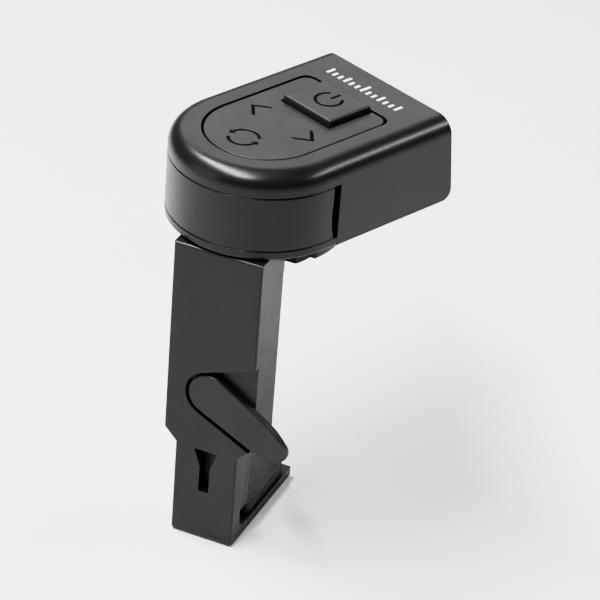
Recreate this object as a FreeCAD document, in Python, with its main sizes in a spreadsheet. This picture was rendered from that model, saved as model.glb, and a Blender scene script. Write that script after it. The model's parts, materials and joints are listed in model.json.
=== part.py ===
import FreeCAD, Part
import Sketcher
import math
import os
import re

# Clip-on instrument tuner: a D-shaped head that swivels on a ratchet clamp.
# Frame: +Z up, +Y from the clamp's front face in over the instrument, +X right.
# Origin: centre of the lower jaw pad's top face. The head swivels about the Z axis.
# Head parts are drawn in the head's own frame (display towards +Y, underside at zero height)
# and turned into place with their Placement. All sizes are millimetres and degrees.

DIMENSIONS = {
    # clamp
    "jaw_opening": 38.0,          # between the two pads with the ratchet closed
    "jaw_travel": 14.0,           # how far the upper jaw rises
    "swivel_reach": 11.7,         # column's front face to the swivel axis
    "lower_pad_thick": 1.4,
    "lower_pad_half": 6.0,        # half its length
    "lower_pad_corner": 1.2,
    "lower_pad_inset": 0.4,       # from the leg's sides
    "lower_jaw_thick": 1.6,
    "lower_jaw_tip": 7.2,         # past the swivel axis
    "jaw_bend": 1.6,              # radius inside the corner of leg and jaw
    "upper_pad_thick": 1.7,
    "upper_pad_radius": 8.6,
    "upper_pad_recess": 4.3,      # radius of the hollow over the swivel screw
    "upper_pad_recess_depth": 1.4,
    "turntable_thick": 1.3,
    "turntable_radius": 11.2,
    "turntable_edge": 0.25,
    "column_width": 12.3,
    "column_depth": 7.0,
    "column_foot": 12.9,          # height where the column narrows to the leg
    "foot_chamfer": 1.8,
    "leg_width": 8.8,
    "leg_foot_round": 0.7,
    "front_edge": 0.3,            # rounding of the column's front edges
    "front_wall": 2.4,
    "channel_width": 8.3,
    "cover_thick": 1.2,
    "cover_top": 36.6,
    "cover_screw_inset": 2.6,     # from the cover's ends
    "cover_screw_depth": 2.2,
    "bar_width": 8.0,
    "bar_thick": 2.9,
    "bar_gap": 0.2,               # in front of the ratchet bar
    "bar_foot": 0.9,              # bar's lower end above the lower pad
    "slot_right": 2.05,           # bar's slot, right of the lever's axis
    "tooth_pitch": 1.4,
    "tooth_depth": 0.6,
    "keyhole_width": 3.3,
    "keyhole_neck": 1.45,
    "keyhole_top": 11.0,
    "keyhole_shoulder": 8.4,
    "keyhole_foot": 4.5,
    "keyhole_depth": 1.8,
    # release lever and pawl
    "lever_height": 19.65,
    "lever_droop": 30.0,          # tail's angle below level at rest
    "lever_swing": 45.0,
    "lever_head": 2.95,           # radius
    "lever_gap": 0.45,
    "lever_thick": 1.0,
    "lever_belly": 2.5,           # half width where the tail starts to narrow
    "lever_belly_at": 8.0,
    "lever_end": 1.65,            # radius of the tail's end
    "lever_end_at": 11.05,
    "lever_flank": 9.0,           # radius of the tail's curved sides
    "lever_edge": 0.15,
    "pocket_depth": 1.05,
    "shaft_radius": 1.5,
    "running_gap": 0.05,          # radial clearance of every turning fit
    "pawl_reach": 2.6,
    "pawl_hub": 1.7,
    "pawl_front": 3.45,           # behind the column's front face
    "pawl_thick": 1.5,
    "pawl_screw_radius": 0.4,
    "pawl_screw_head": 1.3,
    "pawl_screw_head_thick": 0.5,
    "key_square": 1.9,            # square end of the shaft
    "spring_wire": 0.15,          # radius
    "spring_radius": 1.72,
    "spring_leg": 2.8,
    "spring_gap": 0.3,            # behind the column's wall
    # head
    "head_turn": -23.2,           # display's direction, from +Y about +Z
    "head_lift": 0.2,             # gap over the turntable
    "head_width": 24.0,
    "head_height": 12.0,
    "head_reach": 22.8,           # swivel axis to the display face, at its foot
    "display_lean": 6.7,
    "head_wall": 1.3,
    "top_round": 2.3,
    "foot_round": 1.4,            # display end, lower edge
    "seam_drop": 3.2,             # drawer's upper seam, below the top
    "base_thick": 1.2,
    "seam_gap": 0.06,
    "wall_start": 2.5,            # where the casing's side walls begin
    "slot_width": 1.15,           # finger slot beside the drawer's front
    "cavity_rear": 19.9,
    "seam_edge": 0.12,            # softening of the edges along a seam
    "base_edge": 0.35,
    "peg_radius": 3.5,
    "peg_past": 0.05,             # peg's end below the turntable
    "washer_radius": 4.0,
    "washer_thick": 0.3,
    "swivel_screw_radius": 0.8,
    "swivel_screw_head": 1.7,
    "swivel_screw_head_thick": 0.65,
    # keys
    "keys_radius": 7.6,
    "keys_rear": 14.4,
    "keys_corner": 1.5,
    "keys_groove": 0.3,
    "keys_thick": 1.1,
    "keys_inset": 0.05,
    "keys_edge": 0.12,
    "key_gap": 0.19,              # plate's feet over the switch plungers
    "key_side": 4.9,              # left and right switches, off the centre line
    "key_row": 3.1,               # left and right switches, behind the swivel axis
    "key_front": -3.4,            # front switch
    "mark_width": 0.42,           # engraved marks
    "mark_depth": 0.12,
    "chevron_width": 0.672,
    "chevron_half": 1.65,
    "chevron_back": 4.0,
    "chevron_tip": 5.9,
    "cycle_radius": 1.95,
    "cycle_barb": 0.6,            # half width of an arrowhead
    "power_mark_radius": 1.75,
    "power_half": 4.3,
    "power_front": 7.2,
    "power_rise": 0.8,
    "power_row": 11.0,
    "power_travel": 0.4,
    "power_flange": 0.6,          # flange's reach and thickness
    "key_foot": 1.0,              # radius of the plate's feet
    "pivot_radius": 1.3,
    # battery drawer and what is above it
    "drawer_wall": 1.3,
    "drawer_edge": 0.15,
    "slot_bow": 12.0,             # radius of the finger slot's curved side
    "tray_floor": 0.75,
    "tray_half": 10.5,
    "tray_rear": 8.0,
    "tray_rim": 3.1,
    "cell_radius": 10.0,
    "cell_height": 3.2,
    "cell_cap_inset": 1.4,
    "push_hole": 3.5,             # radius of the hole under the cell
    "board_under": 6.6,
    "board_thick": 0.8,
    "board_rear": 17.6,
    "switch_size": 3.6,
    "switch_body": 1.3,
    "switch_plunger": 0.35,
    "plunger_radius": 0.85,
    "chip_half": 2.1,
    "chip_front": 13.1,
    "chip_thick": 0.9,
    "piezo_row": 14.9,
    "piezo_radius": 4.6,
    "piezo_thick": 0.25,
    "ceramic_radius": 3.2,
    "ceramic_thick": 0.2,
    "lead_radius": 0.2,
    "contact_metal": 0.2,
    "contact_top_half": 1.1,
    "contact_side_half": 1.5,
    "contact_side_rear": 12.6,
    "boss_side": 9.1,
    "boss_row": 16.5,
    "boss_radius": 1.65,
    "peg_side": 8.6,              # pegs that locate the board
    "peg_row": 3.6,
    "board_peg": 0.7,             # radius
    # display
    "display_foot": 2.0,
    "display_head": 10.2,
    "display_half": 9.7,
    "bezel_rim": 0.85,
    "bezel_inset": 0.12,          # these five run in from the leaning face
    "window_inset": 0.3,
    "window_back": 1.2,
    "panel_inset": 1.25,
    "panel_back": 2.9,
    "connector_half": 6.0,
    "connector_thick": 0.6,
    "connector_rear": 18.85,
    # screws
    "screw_radius": 0.55,
    "screw_head": 1.2,
    "screw_head_thick": 0.6,
    "cover_screw_length": 3.0,
    "base_screw_length": 5.5,
    "swivel_screw_length": 2.6,
}

DERIVED = {
    "front": "-swivel_reach",
    "column_half": "column_width / 2",
    "leg_half": "leg_width / 2",
    "leg_foot": "-lower_pad_thick - lower_jaw_thick",
    "turntable_top": "jaw_opening + upper_pad_thick + turntable_thick",
    "turntable_under": "jaw_opening + upper_pad_thick",
    "column_back": "column_depth - swivel_reach",
    "channel_depth": "column_depth - front_wall - cover_thick",
    "bar_front": "front + front_wall + bar_gap",
    "pawl_turn": "lever_droop * 2",
    "crest": "-pawl_reach * cos(lever_droop) - 0.08",
    "slot_foot": "lever_height - jaw_travel - pawl_reach - 0.6",
    "slot_head": "lever_height + spring_radius + 0.5",
    "plate_cut": "column_back + 0.2",
    "pocket_radius": "lever_head + lever_gap",
    "head_floor": "turntable_top + head_lift",
    "peg_end": "-(head_lift + turntable_thick + peg_past)",
    "half": "head_width / 2",
    "inner_half": "head_width / 2 - head_wall",
    "seam": "head_height - seam_drop",
    "skin_under": "head_height - head_wall",
    "drawer_foot": "base_thick + seam_gap",
    "drawer_end": "wall_start - slot_width",
    "tray_top": "drawer_foot + tray_floor",
    "cell_floor": "tray_top + 0.02",
    "cell_top": "cell_floor + cell_height",
    "board_top": "board_under + board_thick",
    "plunger_top": "board_top + switch_body + switch_plunger",
    "keys_top": "head_height - keys_inset",
    "keys_under": "keys_top - keys_thick",
}

doc = FreeCAD.newDocument("clip_on_tuner")
sheet = doc.addObject("Spreadsheet::Sheet", "Dims")
nodes = []


def fill_sheet():
    """One row for each driving dimension: its name, and its value under that alias."""
    for row, (name, size) in enumerate(DIMENSIONS.items(), start=1):
        sheet.set(f"A{row}", name)
        sheet.set(f"B{row}", str(size))
        sheet.setAlias(f"B{row}", name)
    doc.recompute()


def bound(expression):
    """The expression with derived names written out and every alias pointing at the sheet."""
    def replace(match):
        word = match.group()
        if word in DERIVED:
            return "(" + bound(DERIVED[word]) + ")"
        return "Dims." + word if word in DIMENSIONS else word
    return re.sub(r"[a-z_]+", replace, expression)


def number(expression):
    """The expression's value."""
    return float(sheet.evalExpression(bound(expression)))


def bind_place(thing, **places):
    """Bind x, y, z or angle of an object's Placement."""
    for key, expression in places.items():
        path = ".Placement.Rotation.Angle" if key == "angle" else ".Placement.Base." + key
        thing.setExpression(path, bound(expression))


def keep(thing, label, head=False):
    """Name a sub-part, and stand head parts in the head's frame."""
    if head and thing.TypeId in ("Part::Box", "Part::Cylinder"):
        thing.Label = label + "_solid"
        thing = group(label + "_placed", [thing])
    thing.Label = label
    if head:
        thing.Placement = FreeCAD.Placement(FreeCAD.Vector(), FreeCAD.Rotation(FreeCAD.Vector(0, 0, 1), 1))
        bind_place(thing, z="head_floor", angle="head_turn")
    nodes.append(thing)
    return thing


# Sketches and PartDesign features

def outline(sketch, steps):
    """Closed outline. A step is (x, y) for a straight edge to that corner, or (x, y, radius, turn)
    for an arc to it, with turn 1 for an arc that bends left and -1 for one that bends right."""
    corners = [(number(step[0]), number(step[1])) for step in steps]
    first = sketch.GeometryCount
    count = len(steps)
    for index, step in enumerate(steps):
        start = FreeCAD.Vector(*corners[index - 1], 0)
        end = FreeCAD.Vector(*corners[index], 0)
        if len(step) == 2:
            sketch.addGeometry(Part.LineSegment(start, end))
        else:
            sketch.addGeometry(Part.Arc(start, arc_middle(start, end, number(step[2]), step[3]), end))
    for index, step in enumerate(steps):
        edge = first + index
        last = first + (index + 1) % count
        end = edge_ends(step)[1]
        next_start = edge_ends(steps[last - first])[0]
        sketch.addConstraint(Sketcher.Constraint("Coincident", edge, end, last, next_start))
        for axis, place, size in zip(("DistanceX", "DistanceY"), step, corners[index]):
            added = sketch.addConstraint(Sketcher.Constraint(axis, -1, 1, edge, end, size))
            sketch.setExpression(f"Constraints[{added}]", bound(place))
        if len(step) > 2:
            added = sketch.addConstraint(Sketcher.Constraint("Radius", edge, number(step[2])))
            sketch.setExpression(f"Constraints[{added}]", bound(step[2]))


def edge_ends(step):
    """Sketcher's numbers for an edge's start and end: an arc always runs anticlockwise."""
    clockwise = len(step) > 2 and step[3] < 0
    return (2, 1) if clockwise else (1, 2)


def arc_middle(start, end, radius, turn):
    """Point halfway along the shorter arc of this radius between two points."""
    chord = end - start
    half = chord.Length / 2
    rise = radius - math.sqrt(max(radius ** 2 - half ** 2, 0))
    outward = FreeCAD.Vector(chord.y, -chord.x, 0).normalize() * turn
    return (start + end) * 0.5 + outward * rise


def circle(sketch, x, y, radius):
    """Circle bound to the sheet."""
    centre = FreeCAD.Vector(number(x), number(y), 0)
    ring = sketch.addGeometry(Part.Circle(centre, FreeCAD.Vector(0, 0, 1), number(radius)))
    for axis, place in (("DistanceX", x), ("DistanceY", y)):
        added = sketch.addConstraint(Sketcher.Constraint(axis, -1, 1, ring, 3, number(place)))
        sketch.setExpression(f"Constraints[{added}]", bound(place))
    added = sketch.addConstraint(Sketcher.Constraint("Radius", ring, number(radius)))
    sketch.setExpression(f"Constraints[{added}]", bound(radius))


def rectangle(left, low, right, high):
    """Steps of an upright rectangle."""
    return [(right, low), (right, high), (left, high), (left, low)]


def new_sketch(body, plane, name, offset="0"):
    """Sketch on one of the body's own origin planes. The offset runs along the plane's normal,
    which is +Z for XY, -Y for XZ and +X for YZ."""
    sketch = body.newObject("Sketcher::SketchObject", body.Name + "_" + name)
    origin_plane = [one for one in body.Origin.OriginFeatures if one.Role == plane + "_Plane"][0]
    sketch.AttachmentSupport = (origin_plane, "")
    sketch.MapMode = "FlatFace"
    sketch.setExpression(".AttachmentOffset.Base.z", bound(offset))
    return sketch


def extrude(kind, body, sketch, length, back=False, both=False):
    """Pad or Pocket of a sketch. back turns its direction round, both goes half each way."""
    before = body.Shape.Volume if body.Tip else 0
    feature = body.newObject("PartDesign::" + kind, sketch.Name + "_" + kind.lower())
    feature.Profile = sketch
    feature.setExpression("Length", bound(length))
    feature.Reversed = back
    feature.Midplane = both
    doc.recompute()
    change = body.Shape.Volume - before
    if change * (1 if kind == "Pad" else -1) <= 0:
        raise RuntimeError(f"{feature.Name} changes nothing")
    return feature


def pad(body, plane, name, steps, length, offset="0", **ways):
    """Sketch one outline and pad it."""
    sketch = new_sketch(body, plane, name, offset)
    outline(sketch, steps)
    return extrude("Pad", body, sketch, length, **ways)


def pocket(body, plane, name, steps, length, offset="0", **ways):
    """Sketch one outline and cut it."""
    sketch = new_sketch(body, plane, name, offset)
    outline(sketch, steps)
    return extrude("Pocket", body, sketch, length, **ways)


def drill(body, plane, name, holes, length, offset="0", **ways):
    """Cut round holes, each (x, y, radius)."""
    sketch = new_sketch(body, plane, name, offset)
    for hole in holes:
        circle(sketch, *hole)
    return extrude("Pocket", body, sketch, length, **ways)


def studs(body, plane, name, rounds, length, offset="0", **ways):
    """Pad round pegs, each (x, y, radius)."""
    sketch = new_sketch(body, plane, name, offset)
    for peg in rounds:
        circle(sketch, *peg)
    return extrude("Pad", body, sketch, length, **ways)


def soften(body, radius, wanted, kind="Fillet"):
    """Fillet or chamfer the edges of the body that wanted() picks."""
    doc.recompute()
    base = body.Tip
    edges = [f"Edge{index}" for index, edge in enumerate(base.Shape.Edges, start=1) if wanted(edge)]
    if not edges:
        raise RuntimeError(f"{body.Name}: no edge to soften")
    feature = body.newObject("PartDesign::" + kind, f"{body.Name}_{kind.lower()}_{len(body.Group)}")
    feature.Base = (base, edges)
    feature.setExpression("Radius" if kind == "Fillet" else "Size", bound(radius))
    doc.recompute()
    return feature


def near(value, target, slack=0.01):
    return abs(value - target) < slack


def level(edge, height):
    """True for an edge that lies at one height."""
    box = edge.BoundBox
    return near(box.ZMin, height) and near(box.ZMax, height)


def at_depth(edge, depth):
    """True for an edge that lies in one plane across Y."""
    box = edge.BoundBox
    return near(box.YMin, depth) and near(box.YMax, depth)


def upright(edge):
    """True for a straight vertical edge."""
    box = edge.BoundBox
    return near(box.XLength, 0) and near(box.YLength, 0) and box.ZLength > 0.1


# Part primitives

def block(name, low, high):
    """Box between two corners, each three expressions."""
    solid = doc.addObject("Part::Box", name)
    bind_place(solid, x=low[0], y=low[1], z=low[2])
    for side, start, end in zip(("Length", "Width", "Height"), low, high):
        solid.setExpression(side, bound(f"({end}) - ({start})"))
    return solid


def rod(name, base, radius, length, along="z"):
    """Cylinder from its base centre along +z or +y."""
    solid = doc.addObject("Part::Cylinder", name)
    if along == "y":
        solid.Placement.Rotation = FreeCAD.Rotation(FreeCAD.Vector(1, 0, 0), -90)
    bind_place(solid, x=base[0], y=base[1], z=base[2])
    solid.setExpression("Radius", bound(radius))
    solid.setExpression("Height", bound(length))
    return solid


def fuse(name, solids):
    joined = doc.addObject("Part::MultiFuse", name)
    joined.Shapes = solids
    joined.Refine = True
    return joined


def cut(name, base, tool):
    result = doc.addObject("Part::Cut", name)
    result.Base = base
    result.Tool = tool
    return result


def group(name, solids):
    """Separate solids kept together as one compound."""
    together = doc.addObject("Part::Compound", name)
    together.Links = solids
    return together


# Clamp

def clamp_body():
    """Column, leg and lower jaw in one moulding."""
    body = doc.addObject("PartDesign::Body", "clamp_body")
    shoulder = "column_foot - foot_chamfer"
    face = [("column_half", "turntable_top"), ("-column_half", "turntable_top"),
            ("-column_half", "column_foot"), ("-leg_half", shoulder), ("-leg_half", "leg_foot"),
            ("leg_half", "leg_foot"), ("leg_half", shoulder), ("column_half", "column_foot")]
    pad(body, "XZ", "face", face, "front_wall", "swivel_reach", back=True)
    behind_face = "swivel_reach - front_wall"
    for side, sign in (("left", "-"), ("right", "")):
        inner, outer = f"{sign}channel_width / 2", f"{sign}column_half"
        wall = rectangle(inner, "column_foot", outer, "turntable_top")
        pad(body, "XZ", side + "_wall", wall, "channel_depth", behind_face, back=True)
        cheek = rectangle(inner, "cover_top + 0.1", outer, "turntable_top")
        pad(body, "XZ", side + "_cheek", cheek, "channel_depth + cover_thick", behind_face, back=True)
    lower_jaw(body)
    lever_pocket(body)
    keyhole = [("keyhole_width / 2", "keyhole_top"), ("-keyhole_width / 2", "keyhole_top"),
               ("-keyhole_neck / 2", "keyhole_shoulder"), ("-keyhole_neck / 2", "keyhole_foot"),
               ("keyhole_neck / 2", "keyhole_foot"), ("keyhole_neck / 2", "keyhole_shoulder")]
    pocket(body, "XZ", "keyhole", keyhole, "keyhole_depth", "swivel_reach")
    drill(body, "XZ", "shaft_hole", [("0", "lever_height", "shaft_radius + running_gap")],
          "front_wall + 1", "swivel_reach")
    drill(body, "XZ", "cover_holes", [(x, z, "screw_radius + 0.02") for x, z in cover_screw_places()],
          "cover_screw_depth", "-column_back + cover_thick", back=True)
    soften_clamp(body)
    keep(body, "clamp_body")


def lower_jaw(body):
    """Foot plate that bends in from the leg, with a rounded inner corner."""
    top = "-lower_pad_thick"
    behind_leg = "front + front_wall"
    profile = [("lower_jaw_tip", "leg_foot"), ("lower_jaw_tip", top),
               (f"{behind_leg} + jaw_bend", top), (behind_leg, f"{top} + jaw_bend", "jaw_bend", -1),
               ("front", f"{top} + jaw_bend"), ("front", "leg_foot")]
    pad(body, "YZ", "jaw", profile, "leg_width", both=True)


def lever_pocket(body):
    """Recess that the lever lies in: a ring round its head, open to the right, with an upper
    edge where the tail stops when it is lifted."""
    rise = "(lever_swing - lever_droop + 5)"
    fall = "(lever_droop - 2.5)"
    edge = "column_half + 1"
    top = (f"-pocket_radius * sin{rise}", f"lever_height + pocket_radius * cos{rise}")
    foot = (f"-pocket_radius * sin{fall}", f"lever_height - pocket_radius * cos{fall}")
    steps = [(edge, f"{top[1]} + ({edge} - ({top[0]})) * tan{rise}"), top,
             (foot[0], foot[1], "pocket_radius", 1),
             (edge, f"{foot[1]} - ({edge} - ({foot[0]})) * tan{fall}")]
    pocket(body, "XZ", "lever_pocket", steps, "pocket_depth", "swivel_reach")


def soften_clamp(body):
    """Rounded outer corners: the leg's foot first, then the front face's whole outer edge."""
    front, foot, top = number("front"), number("leg_foot"), number("turntable_top")
    sides = (number("leg_half"), number("column_half"))
    soften(body, "leg_foot_round", lambda edge: at_depth(edge, front) and level(edge, foot))

    def outer(edge):
        box = edge.BoundBox
        reach = min(abs(box.XMin), abs(box.XMax))
        slanted = box.XLength > 0.5 and box.ZLength > 0.5 and reach > sides[0] - 0.01
        along_side = upright(edge) and any(near(reach, side) for side in sides)
        return at_depth(edge, front) and (along_side or slanted or level(edge, top))
    soften(body, "front_edge", outer)


def cover_screw_places():
    """Centres of the four cover screws, as pairs of expressions."""
    side = "(column_half + channel_width / 2) / 2"
    rows = ("column_foot + cover_screw_inset", "cover_top - cover_screw_inset")
    return [(f"{sign}{side}", z) for sign in ("-", "") for z in rows]


def sleeve_cover():
    """Rear plate of the column, which closes the ratchet channel."""
    body = doc.addObject("PartDesign::Body", "sleeve_cover")
    plate = rectangle("-column_half", "column_foot", "column_half", "cover_top")
    pad(body, "XZ", "plate", plate, "cover_thick", "-column_back + cover_thick", back=True)
    places = cover_screw_places()
    drill(body, "XZ", "holes", [(x, z, "screw_radius + 0.05") for x, z in places], "3", "-column_back + 1",
          both=True)
    drill(body, "XZ", "sinks", [(x, z, "screw_head / 2 + 0.25") for x, z in places], "screw_head_thick",
          "-column_back", back=True)
    back = number("column_back")
    soften(body, "seam_edge", lambda edge: at_depth(edge, back) and edge.BoundBox.DiagonalLength > 5,
           "Chamfer")
    keep(body, "sleeve_cover")


def sleeve_screws():
    """Four self-tapping screws through the cover into the side walls."""
    screws = []
    for index, (x, z) in enumerate(cover_screw_places()):
        head = rod(f"cover_screw_head_{index}", (x, "column_back - screw_head_thick", z),
                   "screw_head / 2 + 0.2", "screw_head_thick - 0.05", "y")
        shank = rod(f"cover_screw_shank_{index}", (x, "column_back - cover_screw_length - 0.2", z),
                    "screw_radius - 0.03", "cover_screw_length", "y")
        slot = block(f"cover_screw_slot_{index}", (f"{x} - 0.7", "column_back - 0.3", f"{z} - 0.12"),
                     (f"{x} + 0.7", "column_back + 0.1", f"{z} + 0.12"))
        blank = fuse(f"cover_screw_blank_{index}", [head, shank])
        screws.append(cut(f"cover_screw_{index}", blank, slot))
    keep(group("sleeve_screws", screws), "sleeve_screws")


def lower_jaw_pad():
    """Rubber pad with rounded corners, glued in the lower jaw."""
    body = doc.addObject("PartDesign::Body", "lower_jaw_pad")
    x, y, corner = "(leg_half - lower_pad_inset)", "lower_pad_half", "lower_pad_corner"
    steps = [(x, f"{y} - {corner}"), (f"{x} - {corner}", y, corner, 1), (f"{corner} - {x}", y),
             (f"-{x}", f"{y} - {corner}", corner, 1), (f"-{x}", f"{corner} - {y}"),
             (f"{corner} - {x}", f"-{y}", corner, 1), (f"{x} - {corner}", f"-{y}"),
             (x, f"{corner} - {y}", corner, 1)]
    pad(body, "XY", "pad", steps, "lower_pad_thick", back=True)
    keep(body, "lower_jaw_pad")


# Lever

def stand_on_lever(body):
    """Lever parts are drawn with the shaft at the origin and the tail along +X."""
    body.Placement.Rotation = FreeCAD.Rotation(FreeCAD.Vector(0, 1, 0), 1)
    bind_place(body, y="front", z="lever_height", angle="lever_droop")


def release_lever():
    """Flat paddle with a bevelled tail, and a shaft that goes through the column's wall."""
    body = doc.addObject("PartDesign::Body", "release_lever")
    belly = ("lever_belly_at", "lever_belly")
    end = ("lever_end_at + 0.25", "lever_end - 0.02")
    steps = [("0", "lever_head", "lever_head", -1),
             belly,
             (end[0], end[1], "lever_flank", -1),
             ("lever_end_at + lever_end", "0", "lever_end + 0.05", -1),
             (end[0], f"-({end[1]})", "lever_end + 0.05", -1),
             (belly[0], "-lever_belly", "lever_flank", -1),
             ("0", "-lever_head"),
             ("-lever_head", "0", "lever_head", -1)]
    pad(body, "XZ", "paddle", steps, "lever_thick", back=True)
    studs(body, "XZ", "shaft", [("0", "0", "shaft_radius")], "front_wall + 0.15 - lever_thick + 0.1",
          "0.1 - lever_thick", back=True)
    side = "key_square / 2"
    pad(body, "XZ", "key", rectangle(f"-{side}", f"-{side}", side, side),
        "pawl_front + pawl_thick - front_wall", "-front_wall", back=True)
    drill(body, "XZ", "screw_hole", [("0", "0", "pawl_screw_radius + 0.02")], "2", "-pawl_front - pawl_thick",
          back=True)
    soften(body, "lever_edge", lambda edge: at_depth(edge, 0))
    bevel = [("lever_end_at - 0.4", "0"), ("lever_end_at - 0.4", "-0.2"), ("lever_end_at + 2.2", "-0.2"),
             ("lever_end_at + 2.2", "0.65")]
    pocket(body, "XY", "tip_bevel", bevel, "8", both=True)
    stand_on_lever(body)
    keep(body, "release_lever")


def pawl():
    """Hub on the shaft's square, with the tooth that faces the ratchet bar."""
    body = doc.addObject("PartDesign::Body", "pawl")
    offset = "-pawl_front"
    studs(body, "XZ", "hub", [("0", "0", "pawl_hub")], "pawl_thick", offset, back=True)
    tip = ("-pawl_reach * cos(pawl_turn)", "-pawl_reach * sin(pawl_turn)")
    tooth = [tip, ("0.9", "-1.2"), ("-0.4", "0.4"), ("-1.5", "-0.75")]
    pad(body, "XZ", "tooth", tooth, "pawl_thick", offset, back=True)
    side = "key_square / 2 + 0.03"
    pocket(body, "XZ", "square", rectangle(f"-({side})", f"-({side})", side, side), "pawl_thick + 1", offset)
    stand_on_lever(body)
    keep(body, "pawl")


def pawl_screw():
    """Screw in the end of the shaft, which keeps the pawl on its square."""
    start = "pawl_front + pawl_thick"
    head = rod("pawl_screw_head", ("0", start, "0"), "pawl_screw_head", "pawl_screw_head_thick", "y")
    shank = rod("pawl_screw_shank", ("0", f"{start} - 1.6", "0"), "pawl_screw_radius", "1.7", "y")
    slot = block("pawl_screw_slot", ("-1", f"{start} + 0.3", "-0.15"), ("1", f"{start} + 0.7", "0.15"))
    screw = cut("pawl_screw", fuse("pawl_screw_blank", [head, shank]), slot)
    stand_on_lever(screw)
    keep(screw, "pawl_screw")


def lever_spring():
    """Hairpin return spring over the shaft, between the column's wall and the pawl."""
    body = doc.addObject("PartDesign::Body", "lever_spring")
    sketch = new_sketch(body, "XY", "wire")
    circle(sketch, "spring_radius", "0", "spring_wire")
    bend = body.newObject("PartDesign::Revolution", "lever_spring_bend")
    bend.Profile = sketch
    bend.ReferenceAxis = (sketch, ["V_Axis"])
    bend.Angle = 180
    bend.Reversed = True
    doc.recompute()
    legs = [(f"{sign}spring_radius", "0", "spring_wire") for sign in ("-", "")]
    studs(body, "XY", "legs", legs, "spring_leg", back=True)
    bind_place(body, y="front + front_wall + spring_wire + spring_gap", z="lever_height")
    keep(body, "lever_spring")


# Sliding jaw

def upper_jaw():
    """Ratchet bar, arm and turntable in one moulding."""
    body = doc.addObject("PartDesign::Body", "upper_jaw")
    bar_offset = "-(bar_front)"
    half_bar = "bar_width / 2"
    pad(body, "XZ", "bar", rectangle(f"-{half_bar}", "bar_foot", half_bar, "turntable_top"), "bar_thick",
        bar_offset, back=True)
    pocket(body, "XZ", "slot", rectangle("crest", "slot_foot", "slot_right", "slot_head"), "bar_thick + 1",
           bar_offset)
    ratchet_teeth(body, bar_offset)
    arm = [("plate_cut + 1.5", "turntable_under"), ("plate_cut + 1.5", "turntable_top"),
           ("bar_front", "turntable_top"), ("bar_front", "cover_top + 0.6"), ("plate_cut", "cover_top + 0.6"),
           ("plate_cut", "turntable_under")]
    pad(body, "YZ", "arm", arm, "bar_width", both=True)
    radius = "turntable_radius"
    corner = f"sqrt({radius} ^ 2 - (plate_cut) ^ 2)"
    disc = [(corner, "plate_cut"), ("0", radius, radius, 1), (f"-{corner}", "plate_cut", radius, 1)]
    pad(body, "XY", "turntable", disc, "turntable_thick", "turntable_under")
    drill(body, "XY", "peg_hole", [("0", "0", "peg_radius + running_gap")], "turntable_thick + 1",
          "turntable_top")
    top, under = number("turntable_top"), number("turntable_under")
    soften(body, "turntable_edge", lambda edge: edge.Curve.TypeId == "Part::GeomCircle"
           and near(edge.Curve.Radius, number(radius)) and (level(edge, top) or level(edge, under)))
    keep(body, "upper_jaw")


def ratchet_teeth(body, bar_offset):
    """Saw teeth on the slot's left edge: one notch, repeated down the bar."""
    first = "lever_height - pawl_reach * sin(lever_droop)"
    notch = [("crest + 0.05", f"{first} - tooth_pitch"), ("crest + 0.05", first),
             ("crest - tooth_depth", f"{first} - tooth_pitch")]
    one = pocket(body, "XZ", "tooth", notch, "bar_thick + 1", bar_offset)
    rows = body.newObject("PartDesign::LinearPattern", "upper_jaw_teeth")
    rows.Originals = [one]
    rows.Direction = (one.Profile[0], ["V_Axis"])
    rows.Reversed = True
    rows.setExpression("Occurrences", bound("jaw_travel / tooth_pitch"))
    rows.setExpression("Length", bound("jaw_travel - tooth_pitch"))
    body.Tip = rows
    before = one.Shape.Volume
    doc.recompute()
    if rows.Shape.Volume >= before:
        raise RuntimeError("the ratchet has one tooth only")


def upper_jaw_pad():
    """Rubber pad under the turntable, hollowed over the swivel screw."""
    body = doc.addObject("PartDesign::Body", "upper_jaw_pad")
    radius, flat = "upper_pad_radius", "(plate_cut + 0.2)"
    corner = f"sqrt({radius} ^ 2 - {flat} ^ 2)"
    steps = [(corner, flat), ("0", radius, radius, 1), (f"-{corner}", flat, radius, 1)]
    pad(body, "XY", "pad", steps, "upper_pad_thick", "jaw_opening")
    drill(body, "XY", "recess", [("0", "0", "upper_pad_recess")], "upper_pad_recess_depth", "turntable_under")
    keep(body, "upper_jaw_pad")


# Head: covers

def d_outline(half, rear, front_half=None):
    """Steps of a D: a half round at the front and straight sides back to the rear."""
    radius = front_half or half
    return [(half, rear), (f"-({half})", rear), (f"-({half})", "0"),
            ("0", f"-({radius})", radius, 1), (half, "0", radius, 1)]


def face_point(rise, depth):
    """Point in the head's side view, from its height up the leaning display face and its depth."""
    return (f"head_reach - ({rise}) * sin(display_lean) - ({depth}) * cos(display_lean)",
            f"({rise}) * cos(display_lean) - ({depth}) * sin(display_lean)")


def face_slab(low, high, shallow, deep):
    """Steps of a slab that stands parallel to the display face."""
    return [face_point(low, shallow), face_point(high, shallow),
            face_point(high, deep), face_point(low, deep)]


def base_screw_places():
    return [(f"{sign}boss_side", "boss_row") for sign in ("-", "")]


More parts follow.
